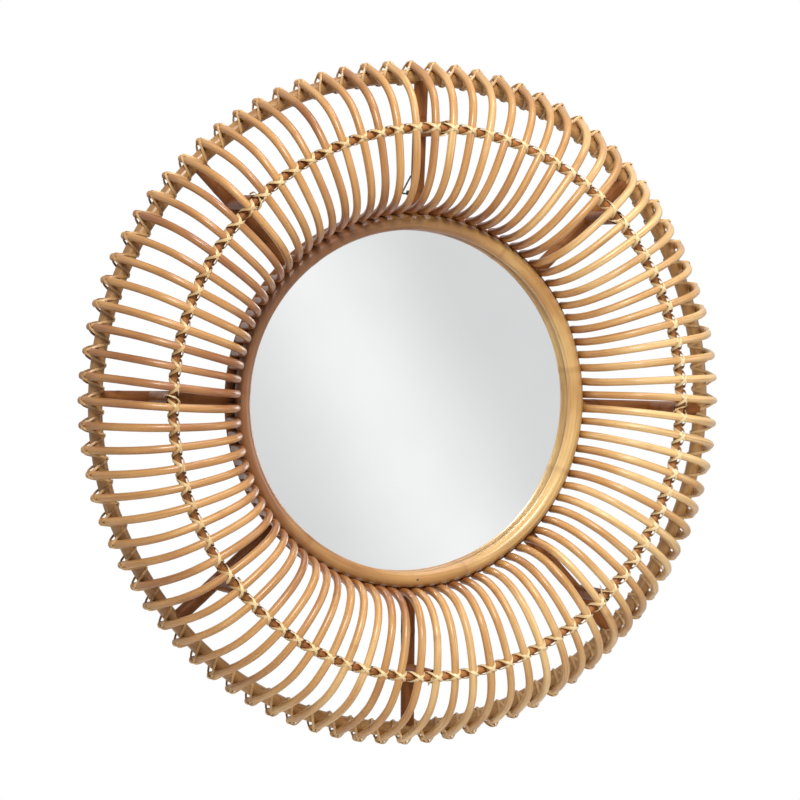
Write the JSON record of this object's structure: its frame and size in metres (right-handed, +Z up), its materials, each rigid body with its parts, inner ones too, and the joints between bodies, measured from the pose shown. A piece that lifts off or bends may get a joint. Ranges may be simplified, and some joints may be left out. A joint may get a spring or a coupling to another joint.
{
  "type": "wall mirror",
  "caption": "Round wall mirror in a rattan frame: curved cane ribs arch from the mirror's ring out to the rim, lashed with flat cane, with a wire hanger behind.",
  "frame": {"origin": "the inside top of the triangular wire ring behind the top strut, where the mirror hangs on its wall hook", "axes": "+Y from the mirror's face back into the wall, +Z up, +X to the right of somebody looking at the glass; the mirror faces -Y"},
  "size_m": [0.799, 0.1042, 0.799],
  "materials": {
    "honey_cane": "satin varnished honey rattan",
    "dark_cane": "satin varnished dark rattan",
    "olive_cane": "satin varnished olive rattan",
    "silvered_glass": "polished",
    "fibre_board": "plain",
    "dark_steel": "dark satin"
  },
  "bodies": {
    "root": {"outer_ring": "olive_cane", "middle_ring": "dark_cane", "front_ring": "honey_cane", "back_ring": "dark_cane", "mirror_glass": "silvered_glass", "backing_board": "fibre_board", "strut_1": "dark_cane", "post_1": "dark_cane", "rib_panel_1": "honey_cane", "strut_2": "dark_cane", "post_2": "dark_cane", "rib_panel_2": "honey_cane", "strut_3": "dark_cane", "post_3": "dark_cane", "rib_panel_3": "honey_cane", "strut_4": "dark_cane", "post_4": "dark_cane", "rib_panel_4": "honey_cane", "strut_5": "dark_cane", "post_5": "dark_cane", "rib_panel_5": "honey_cane", "strut_6": "dark_cane", "post_6": "dark_cane", "rib_panel_6": "honey_cane", "strut_7": "dark_cane", "post_7": "dark_cane", "rib_panel_7": "honey_cane", "strut_8": "dark_cane", "post_8": "dark_cane", "rib_panel_8": "honey_cane", "hanger_ring": "dark_steel", "hanger_strap": "dark_steel", "hanger_screw": "dark_steel"}
  },
  "joints": []
}
